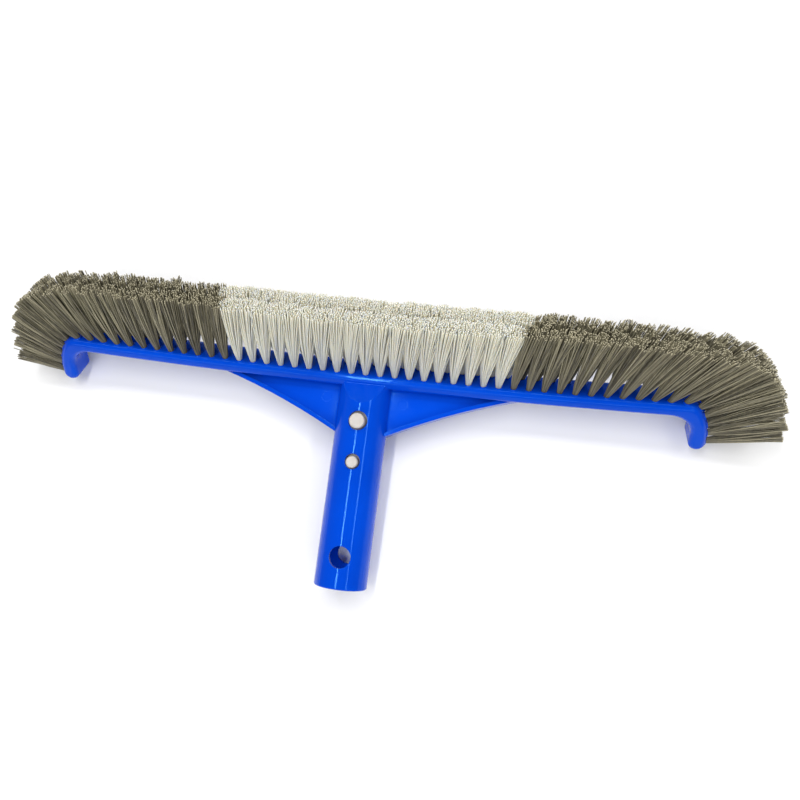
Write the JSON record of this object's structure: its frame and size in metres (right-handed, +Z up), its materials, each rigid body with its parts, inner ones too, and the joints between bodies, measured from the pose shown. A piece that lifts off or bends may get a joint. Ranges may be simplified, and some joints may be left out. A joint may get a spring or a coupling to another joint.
{
  "type": "pool wall brush",
  "caption": "Curved pool wall brush: a bar with hooked ends and flared bristle tufts on a slanted tubular pole spigot, held in the pole by a spring clip with buttons.",
  "frame": {"origin": "middle of the outline at the level of the surface that the brush lies on", "axes": "+X along the bar, +Y from the spigot's mouth towards the bristles, +Z up, with the bristles pointing up and away from the spigot; +X and -X ends are alike"},
  "size_m": [0.4514, 0.1582, 0.0661],
  "materials": {
    "brush_body": "glossy moulded blue plastic",
    "clip": "satin moulded cream plastic",
    "grey_bristle": "stiff dark grey synthetic filaments with speckled light tips",
    "white_bristle": "stiff off-white synthetic filaments",
    "anchor": "plain drawn strip"
  },
  "bodies": {
    "brush": {"brush_body": "brush_body", "clip_bend": "clip", "front_left_grey_anchors": "anchor", "front_left_grey_tufts": "grey_bristle", "front_left_hook_anchors": "anchor", "front_left_hook_tufts": "grey_bristle", "front_right_grey_anchors": "anchor", "front_right_grey_tufts": "grey_bristle", "front_right_hook_anchors": "anchor", "front_right_hook_tufts": "grey_bristle", "front_white_anchors": "anchor", "front_white_tufts": "white_bristle", "rear_left_grey_anchors": "anchor", "rear_left_grey_tufts": "grey_bristle", "rear_left_hook_anchors": "anchor", "rear_left_hook_tufts": "grey_bristle", "rear_right_grey_anchors": "anchor", "rear_right_grey_tufts": "grey_bristle", "rear_right_hook_anchors": "anchor", "rear_right_hook_tufts": "grey_bristle", "rear_white_anchors": "anchor", "rear_white_tufts": "white_bristle"},
    "front_leg": {"clip_front_leg": "clip", "front_lock_button": "clip", "front_release_button": "clip"},
    "rear_leg": {"clip_rear_leg": "clip", "rear_lock_button": "clip", "rear_release_button": "clip"}
  },
  "joints": [
    {"name": "front_leg_press", "type": "hinge", "parent": "brush", "child": "front_leg", "pos_m": [0, -0.04071, 0.02162], "axis": [1, 0, 0], "range_deg": [-4.5, 0], "stiffness_Nm_per_rad": 2, "springref_deg": 2.86},
    {"name": "rear_leg_press", "type": "hinge", "parent": "brush", "child": "rear_leg", "pos_m": [0, -0.04027, 0.01163], "axis": [1, 0, 0], "range_deg": [0, 4.5], "stiffness_Nm_per_rad": 2, "springref_deg": -2.86}
  ]
}
